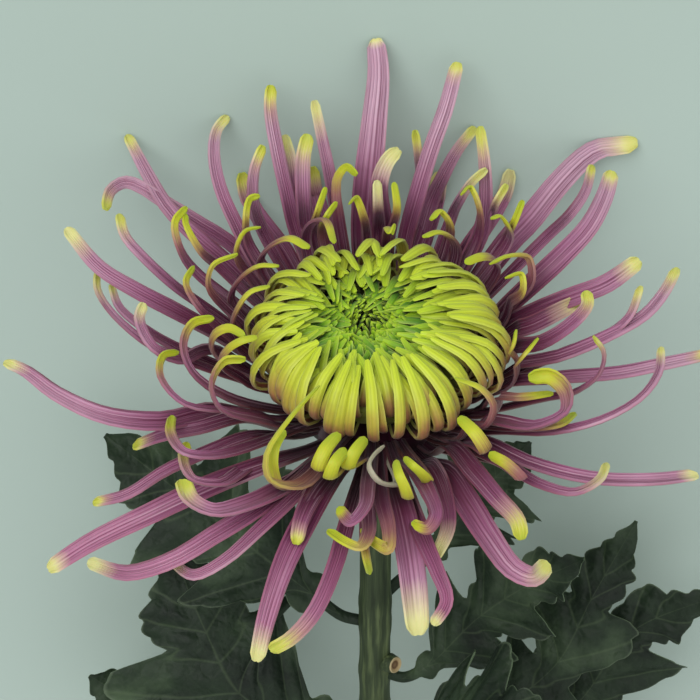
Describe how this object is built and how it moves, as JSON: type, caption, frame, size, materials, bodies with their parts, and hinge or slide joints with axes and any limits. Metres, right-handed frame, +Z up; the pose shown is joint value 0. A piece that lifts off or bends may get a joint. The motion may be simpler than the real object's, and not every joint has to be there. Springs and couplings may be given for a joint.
{
  "type": "spider chrysanthemum",
  "caption": "Cut spider chrysanthemum laid on its side: long hooked ray florets round a domed centre, a cup of bracts, a stem and lobed leaves.",
  "frame": {"origin": "the middle of the bounding box's foot, on the surface that the flower lies on", "axes": "+Z up, +Y from the bloom along the lying stem to its cut end; the bloom faces -Y and a little up"},
  "size_m": [0.1584, 0.243, 0.1156],
  "materials": {
    "ray_floret": "satin petal, purple-pink with lime tips",
    "lime_floret": "satin petal, lime green to yellow",
    "bract": "matte green with pale dry edges",
    "stem": "matte ribbed green stem",
    "leaf": "matte dark green with paler veins"
  },
  "bodies": {
    "root": {"ray_florets": "ray_floret", "centre_florets": "lime_floret", "involucre": "bract", "stem": "stem", "leaf_1": "leaf", "leaf_2": "leaf", "leaf_3": "leaf", "leaf_4": "leaf", "leaf_5": "leaf", "leaf_6": "leaf", "leaf_7": "leaf", "leaf_8": "leaf"}
  },
  "joints": []
}
